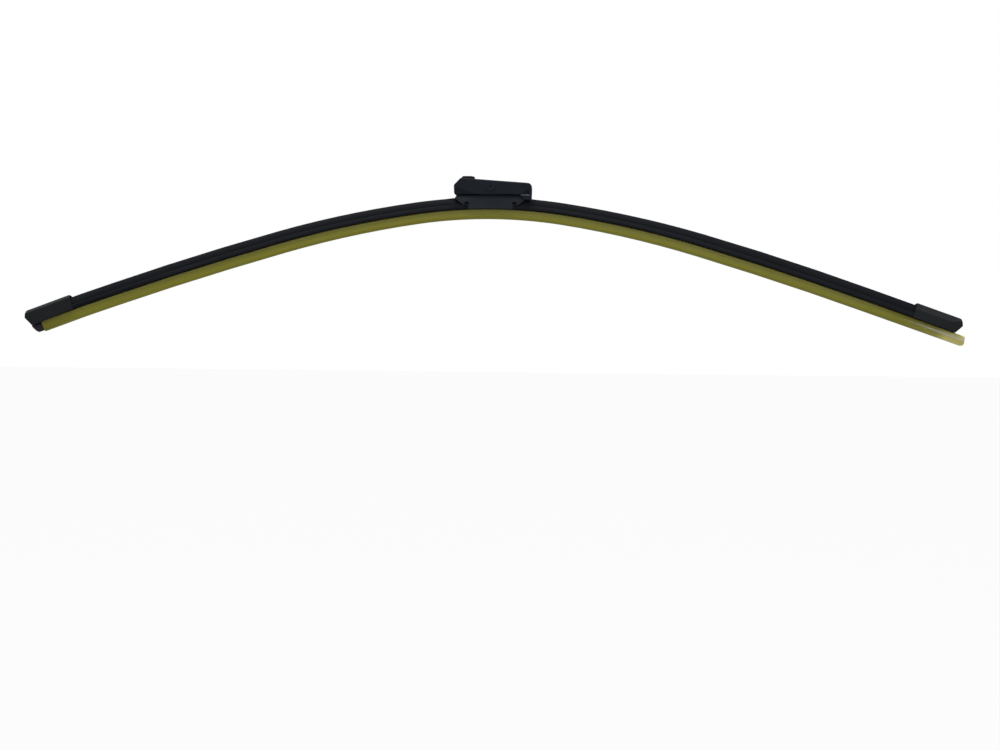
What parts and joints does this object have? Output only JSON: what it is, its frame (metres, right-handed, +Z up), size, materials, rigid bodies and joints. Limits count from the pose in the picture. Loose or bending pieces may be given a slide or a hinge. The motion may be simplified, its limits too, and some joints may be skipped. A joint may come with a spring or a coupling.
{
  "type": "wiper blade",
  "caption": "Bowed flat wiper blade with asymmetric rubber spoilers, push-button arm adapter on a pivoting bracket, end caps and a translucent clip-on cover over the wiping lip.",
  "frame": {"origin": "on the adapter's sloping roof, where the arm's channel bears, straight above the pivot pin", "axes": "+X along the blade from the button end to the other tip, +Y from the spoiler's lee side to its wind side, +Z up, away from the glass"},
  "size_m": [0.638, 0.0174, 0.1111],
  "materials": {
    "adapter_plastic": "fine-grained black moulding",
    "button_plastic": "fine-grained black moulding",
    "bracket_plastic": "satin black moulding",
    "cap_plastic": "satin black moulding",
    "spoiler_rubber": "extruded, dull",
    "wiping_rubber": "graphite-coated, dull",
    "rail_steel": "black-coated spring steel strip",
    "spring_steel": "rolled leaf",
    "pin_steel": "black-coated rivet",
    "cover_plastic": "translucent yellow, soft gloss"
  },
  "bodies": {
    "adapter": {"adapter_body": "adapter_plastic", "button_spring": "spring_steel"},
    "button": {"release_button": "button_plastic"},
    "blade": {"pivot_pin": "pin_steel", "centre_bracket": "bracket_plastic", "near_rail": "rail_steel", "far_rail": "rail_steel", "wiper_rubber": "wiping_rubber", "left_spoiler": "spoiler_rubber", "right_spoiler": "spoiler_rubber", "left_end_cap": "cap_plastic", "right_end_cap": "cap_plastic", "protective_cover": "cover_plastic"}
  },
  "joints": [
    {"name": "blade_pivot", "type": "hinge", "parent": "adapter", "child": "blade", "pos_m": [0, 0, -0.0042], "axis": [0, 1, 0], "range_deg": [-10, 10]},
    {"name": "button_press", "type": "slide", "parent": "adapter", "child": "button", "axis": [0, 0, -1], "range_m": [0, 0.0017], "stiffness_N_per_m": 1500, "deforming": ["button_spring"]}
  ]
}
